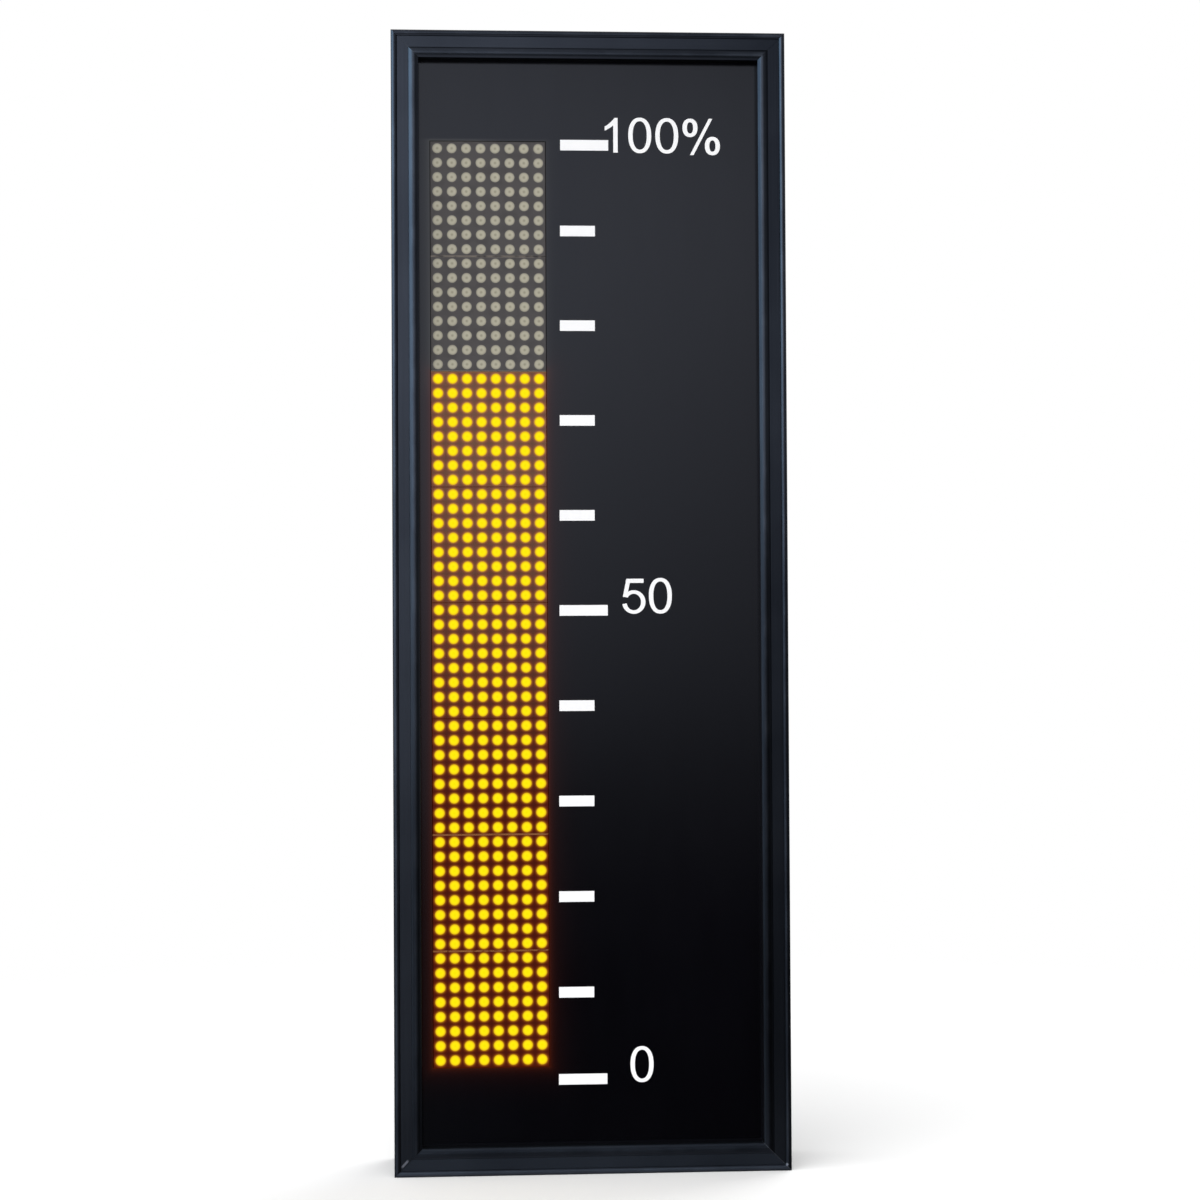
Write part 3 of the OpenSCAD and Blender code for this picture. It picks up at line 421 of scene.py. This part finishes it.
# LED modules: square moulded shells with a dark printed face, and a cast epoxy dot in each cavity.
# The lower six are lit, and round their dots a painted glow stands for their light creeping through
# the print. Their print is painted lighter upwards, and their print and bare plastic are painted
# warmer than on the upper two, whose dots have a faint painted glow at the rim. The edges along some
# of the seams are worn pale, with a painted glow on the lit modules.
module_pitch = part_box("led_module_2")[0].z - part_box("led_module_1")[0].z
led_pitch = module_pitch / 8
shell_front = column_low[1]
dot_r = 0.00265
reach = 0.0054
seams = [
    (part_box(f"led_module_{i}")[1].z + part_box(f"led_module_{i + 1}")[0].z) / 2 for i in (1, 2, 6, 7)
]


def from_dot(place):
    """Distance on the face from the middle of the nearest dot, from Object coordinates."""
    x, y, z = place.axes()
    first = column_low[2] - (module_pitch - column_w) / 2
    u = (((x - column_x) / led_pitch).math("FRACT") - 0.5) * led_pitch
    v = (((z - first) / led_pitch).math("FRACT") - 0.5) * led_pitch
    return (u ** 2.0 + v ** 2.0) ** 0.5


def by_radius(radius, *stops):
    """A colour ramp over the distance from a dot's middle, its stops given in metres."""
    places = [(r / reach, colour) for r, colour in stops]
    return radius.add("ValToRGB", {"stops": places}, {"Fac": radius / reach})


def shell(name, pale, bare, painted_seam_glow, glow, *pieces):
    """Black moulding whose print is painted lighter upwards, worn pale along some seams, with a
    painted glow by the dots and at the worn seams.
    """
    material, shader, place = finish(name)
    x, y, z = place.axes()
    grain = place.noise(1600)
    dust = place.noise(130).rise(0.3, 0.7)
    # Painted light: the print lightens upwards through the lit modules.
    painted_light_upwards = z.rise(column_low[2] + 0.12, lit_high) * (0.85 + 0.25 * dust)
    print_and_painted_light = painted_light_upwards.mix(seen(3, 2, 2), pale)
    from_seam = abs(z - seams[0])
    for seam in seams[1:]:
        from_seam = from_seam.math("MINIMUM", abs(z - seam))
    edge = from_seam.rise(0.0006, 0.0002) * place.noise(160).rise(0.3, 0.45)
    front = y.rise(shell_front + 0.0006, shell_front)
    by_dot = front.mix(glow[-1][1], by_radius(from_dot(place), *glow))
    coat(material, shader, {
        "Base Color": edge.mix(print_and_painted_light, bare),
        "Roughness": 0.42 + 0.12 * grain,
        "Specular IOR Level": 0.12,
        # Painted glow round the dots, and on the worn seam edges.
        "Emission Color": edge.mix(by_dot, painted_seam_glow),
        "Emission Strength": 1.0,
        "Normal": grain.bump(0.00001),
    }, *pieces)


# Painted glow round the lit dots, standing for their light creeping through the print.
creep = [
    (dot_r, (0.50, 0.23, 0.004, 1)), (0.0029, (0.31, 0.110, 0.002, 1)),
    (0.0032, (0.19, 0.046, 0.001, 1)), (0.0037, (0.108, 0.013, 0.0004, 1)),
    (0.0043, (0.074, 0.007, 0.0002, 1)), (reach, (0.058, 0.005, 0.0001, 1)),
]
# Painted glow at the rims of the unlit dots.
painted_rim_glow = [(dot_r, (0.012, 0.012, 0.011, 1)), (0.0034, (0, 0, 0, 1)), (reach, (0, 0, 0, 1))]
# The lit modules' print and bare edges are painted warmer, as if lit by their own dots.
shell("shell_lit", seen(84, 73, 60), seen(98, 80, 62), (0.15, 0.042, 0.005, 1), creep,
      *[f"led_module_{i}" for i in range(1, 7)])
shell("shell_dark", seen(78, 75, 75), seen(136, 128, 120), (0, 0, 0, 1), painted_rim_glow,
      "led_module_7", "led_module_8")

lit_epoxy, shader, place = finish("lit_epoxy")
shine = by_radius(
    from_dot(place), (0.0, (0.95, 0.79, 0.0, 1)), (0.0013, (1.0, 0.85, 0.003, 1)),
    (0.0020, (0.96, 0.72, 0.006, 1)), (dot_r, (0.70, 0.40, 0.006, 1)),
)
coat(lit_epoxy, shader, {
    "Base Color": place.noise(300).mix((0.02, 0.012, 0.0, 1), (0.03, 0.02, 0.001, 1)),
    "Roughness": 0.35,
    "Specular IOR Level": 0.05,
    "Emission Color": shine,
    "Emission Strength": 1.0,
}, *[f"led_dots_{i}" for i in range(1, 7)])

dark_epoxy, shader, place = finish("unlit_epoxy")
milky = by_radius(
    from_dot(place), (0.0, seen(144, 139, 120)), (0.0004, seen(150, 145, 126)),
    (0.0009, seen(176, 171, 150)), (0.0016, seen(179, 173, 152)), (0.0021, seen(166, 160, 141)),
    (dot_r, seen(130, 125, 114)),
)
grain = place.noise(500)
coat(dark_epoxy, shader, {
    "Base Color": (place.noise(240) * 0.25).mix(milky, seen(120, 118, 104)),
    "Roughness": 0.3 + 0.2 * grain,
    "Normal": grain.bump(0.00002),
}, "led_dots_7", "led_dots_8")


# Circuit boards: glass laminate with a coloured solder mask. Tracks show as a faint raised grid
# of lines, with small tinned pads between them.
def laminate(name, mask, track, *pieces):
    """Solder mask over copper tracks: lines where a sine of X or Z, bent by noise, is high."""
    material, shader, place = finish(name)
    x, y, z = place.axes()
    run = (x * 900 + (place.noise(22) - 0.5) * 14).math("SINE").rise(0.55, 0.8)
    hop = (z * 700 + (place.noise(17) - 0.5) * 18).math("SINE").rise(0.75, 0.9)
    tracks = run.math("MAXIMUM", hop)
    pads = place.add("TexVoronoi", (), {"Vector": place, "Scale": 260.0}).rise(0.16, 0.1)
    coloured = tracks.mix(mask, track)
    coat(material, shader, {
        "Base Color": (pads * 0.8).mix(coloured, seen(190, 188, 176)),
        "Metallic": pads * 0.7,
        "Roughness": 0.28 + 0.12 * place.noise(400),
        "Normal": tracks.bump(0.00003),
    }, *pieces)


laminate("green_board", seen(18, 74, 44), seen(30, 100, 60), "module_back_boards", "psu_board",
         *[f"driver_board_{j}" for j in range(1, 5)])
laminate("blue_board", seen(18, 58, 104), seen(30, 82, 134), "control_board")


# Pins, sockets, chips, headers and plugs: tinned pins in a moulded bar, and black mouldings with
# the fine grain of their tool and a slight bloom. The screw terminals are a green moulding.
def moulded(name, shade, bloom, *pieces, grain=900):
    """Moulded plastic: a faint bloom over its shade, and a tool grain in gloss and surface."""
    material, shader, place = finish(name)
    fine = place.noise(grain, 4)
    coat(material, shader, {
        "Base Color": place.noise(60).rise(0.35, 0.75).mix(shade, bloom),
        "Roughness": 0.38 + 0.25 * fine,
        "Normal": fine.bump(0.00002),
    }, *pieces)


moulded("black_moulding", seen(32, 32, 34), seen(46, 46, 49), "pin_sockets", "driver_chips",
        "ribbon_headers", "ribbon_plugs", "psu_terminal_strip", "control_chips")
moulded("green_moulding", seen(38, 112, 66), seen(54, 130, 82), "control_terminals")
bare_metal("tinned_pins", seen(214, 204, 160), 0.32, 1200, "module_pins")


# Ribbon cables: conductors in a row under one grey jacket, so the surface is ribbed across.
# They join the driver boards to each other and to the control board, by plugs.
wire_pitch = 0.00127
ribbon, shader, place = finish("grey_ribbon")
x, y, z = place.axes()
ribs = ((x + z) * (2 * math.pi / wire_pitch)).math("SINE")
coat(ribbon, shader, {
    "Base Color": ribs.rise(-0.6, 0.6).mix(seen(118, 121, 126), seen(150, 153, 158)),
    "Roughness": 0.45 + 0.1 * place.noise(300),
    "Normal": ribs.bump(0.0001),
}, "ribbon_cables")


# Standoffs and board rails: turned brass hexagons, and drawn aluminium angles that carry the
# driver boards between the cross rails. The supply's base is a folded sheet of the same metal.
bare_metal("turned_brass", seen(206, 172, 96), 0.3, 1500, "board_standoffs", "control_standoffs")
bare_metal("drawn_aluminium", seen(206, 208, 212), 0.36, 70, "board_rail_left",
           "board_rail_right", "psu_base", stretch=(14, 14, 0.2))


# Power supply: a zinc-coated lid with its crystal pattern, and on the board a taped transformer,
# sleeved capacitors and a heat sink. The sink is what stands highest, and the transformer is at
# the left, above the lower capacitors.
zinc, shader, place = finish("zinc_sheet")
crystal = place.add("TexVoronoi", (), {"Vector": place, "Scale": 120.0}, "Color")
tone = crystal.add("RGBToBW", (), {0: crystal})
coat(zinc, shader, {
    "Base Color": tone.mix(seen(178, 182, 186), seen(208, 211, 214)),
    "Metallic": 1.0,
    "Roughness": 0.3 + 0.2 * tone,
}, "psu_cover")

sink_h, transformer_w, capacitor_row_h = 0.010, 0.021, 0.008
parts_low, parts_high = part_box("psu_parts")
supply, shader, place = finish("supply_parts")
x, y, z = place.axes()
tape = place.noise(200, 2, (1, 1, 8))
sink_z = parts_high.z - sink_h
sink = z.rise(sink_z - 0.0001, sink_z + 0.0001)
right_x, low_z = parts_low.x + transformer_w, parts_low.z + capacitor_row_h
transformer = x.rise(right_x + 0.0002, right_x - 0.0002) * z.rise(low_z - 0.0005, low_z + 0.0005)
sleeves = transformer.mix(seen(36, 38, 44), seen(208, 188, 104))
coat(supply, shader, {
    "Base Color": sink.mix(sleeves, seen(170, 174, 178)),
    "Metallic": sink,
    "Roughness": 0.35 + 0.2 * tape,
    "Normal": tape.bump(0.00005),
}, "psu_parts")


# Power leads: soft insulation over stranded wire, red and black, clamped in the terminals of the
# supply and of the control board.
moulded("red_lead", seen(188, 36, 42), seen(204, 58, 60), "power_lead_red", grain=500)
moulded("black_lead", seen(30, 30, 33), seen(44, 44, 47), "power_lead_black", grain=500)


# Rear cover: steel sheet with a fine-textured charcoal powder coat, held by blackened screws in
# the rails' channels, with plated rivet nuts for mounting and rubber grommets for the cables.
cover, shader, place = finish("powder_coat")
orange_peel = place.noise(950, 5)
cloud = place.noise(6)
coat(cover, shader, {
    "Base Color": cloud.rise(0.3, 0.7).mix(seen(58, 60, 64), seen(66, 68, 72)),
    "Roughness": 0.5 + 0.2 * orange_peel,
    "Normal": orange_peel.bump(0.00012),
}, "rear_cover")
moulded("black_screw", seen(40, 40, 43), seen(62, 62, 66), "rear_cover_screws", grain=1400)
bare_metal("plated_insert", seen(212, 190, 130), 0.3, 1300, "rivet_nuts")
moulded("black_rubber", seen(38, 38, 40), seen(50, 50, 52), "cable_grommets", grain=1800)


# Stage: a pale floor that fades into a white surround, two large soft lamps, and a dome that only
# the object's gloss shows: bright and cool at the upper left in front, dark at the right and below.
scene = bpy.context.scene
scene.view_settings.view_transform = "Standard"

world = bpy.data.worlds.new("surround")
scene.world = world
world.use_nodes = True
background = world.node_tree.nodes["Background"]
rays = world.node_tree.nodes.new("ShaderNodeLightPath")
shown = Wire(rays.outputs["Is Camera Ray"]).math("MAXIMUM", Wire(rays.outputs["Is Glossy Ray"]))
shown = shown.math("MAXIMUM", Wire(rays.outputs["Is Transmission Ray"]))
ambient = 0.5
strength = ambient + (1 - ambient) * shown
world.node_tree.links.new(strength.socket, background.inputs["Strength"])
background.inputs["Color"].default_value = (1, 1, 1, 1)

floor_half = 3.0
ground, shader, place = finish("pale_floor")
x, y, z = place.axes()
fade = ((x ** 2.0 + y ** 2.0) ** 0.5).rise(0.3, 0.9)
clear = place.add("BsdfTransparent")
coat(ground, shader, {
    "Base Color": (0.92, 0.92, 0.92, 1),
    "Roughness": 0.9,
    "Specular IOR Level": 0.0,
})
faded = place.add("MixShader", (), {0: fade, 1: Wire(shader.outputs[0]), 2: clear})
ground.node_tree.links.new(
    faded.socket, ground.node_tree.nodes["Material Output"].inputs["Surface"]
)
floor_corners = floor_half * np.array([(-1, -1, 0), (1, -1, 0), (1, 1, 0), (-1, 1, 0)])
floor = surface("floor", floor_corners, np.array([(0, 1, 2, 3)]), ground)
floor.visible_glossy = False

dome_r = 6.8
dome_middle = np.array([0, 0, 0.3])
steps_round, steps_up = 48, 24


def ball(middle, radius):
    """A sphere: middle + radius (cos e sin a, -cos e cos a, sin e), where the angle a goes right
    round and the height e from pole to pole."""
    a, e = np.meshgrid(
        np.linspace(-np.pi, np.pi, steps_round + 1),
        np.linspace(-np.pi / 2, np.pi / 2, steps_up + 1),
    )
    way = np.stack([np.cos(e) * np.sin(a), -np.cos(e) * np.cos(a), np.sin(e)], axis=-1)
    at = np.arange(a.size).reshape(a.shape)
    faces = np.stack([at[:-1, :-1], at[1:, :-1], at[1:, 1:], at[:-1, 1:]], axis=-1)
    return (middle + radius * way).reshape(-1, 3), faces.reshape(-1, 4)


graded, shader, place = finish("graded_dome")
x, y, z = place.axes()
high = (0.44 * z.rise(-0.5, 0.5) + 0.56 * z.rise(0.3, 1.95)) * (0.3 + 0.7 * z.rise(2.9, 1.8))
ahead = high * (0.14 + 1.36 * x.rise(3.2, -1.2))
left = x.rise(0.2, -1.2) * (0.5 + 0.5 * x.rise(-5.0, -2.0))
below = z.rise(-1.4, -2.2) * x.rise(1.8, -0.6)
right = x.rise(4.0, 6.4) * z.rise(-2.0, 1.0)
under = 0.01 + 0.18 * left + 0.1 * below + 0.13 * right + 0.3 * z.rise(-3.0, -4.6)
window = x.rise(-1.5, -4.0) * z.rise(0.8, 1.6) * z.rise(4.4, 3.0)
sky = (ahead + under).mix((0, 0, 0, 1), (0.93, 1.0, 1.2, 1))
front = window.mix(sky, (2.0, 2.9, 3.8, 1))
behind = z.rise(-1.5, 2.0).mix(seen(70, 70, 72), seen(200, 200, 202))
coat(graded, shader, {
    "Base Color": (0, 0, 0, 1),
    "Specular IOR Level": 0.0,
    "Emission Color": y.rise(-0.4, 0.8).mix(front, behind),
    "Emission Strength": 1.0,
})
dome = surface("dome", *ball(dome_middle, dome_r), graded)
dome.visible_camera = dome.visible_diffuse = dome.visible_shadow = False
dome.visible_transmission = False


def soft_lamp(name, place, aim, size, power):
    """A square soft lamp at a place, turned to shine at a point."""
    lamp = bpy.data.lights.new(name, "AREA")
    lamp.shape, lamp.size, lamp.energy = "SQUARE", size, power
    made = bpy.data.objects.new(name, lamp)
    made.location = place
    way = Vector(aim) - Vector(place)
    made.rotation_euler = way.to_track_quat("-Z", "Y").to_euler()
    made.visible_glossy = False
    scene.collection.objects.link(made)


aim = (0, 0, cad_high.z / 2)
soft_lamp("key", (-1.6, -2.2, 3.4), aim, 6.0, 212)
soft_lamp("rear", (1.6, 2.0, 1.9), aim, 2.2, 44)

camera = bpy.data.cameras.new("camera")
camera.sensor_width, camera.lens = 36, 71.95
viewer = bpy.data.objects.new("camera", camera)
viewer.location = (-0.0723, -1.2807, 0.2757)
viewer.rotation_euler = (math.pi / 2 + 0.0193, 0.0052, -0.0610)
scene.collection.objects.link(viewer)
scene.camera = viewer
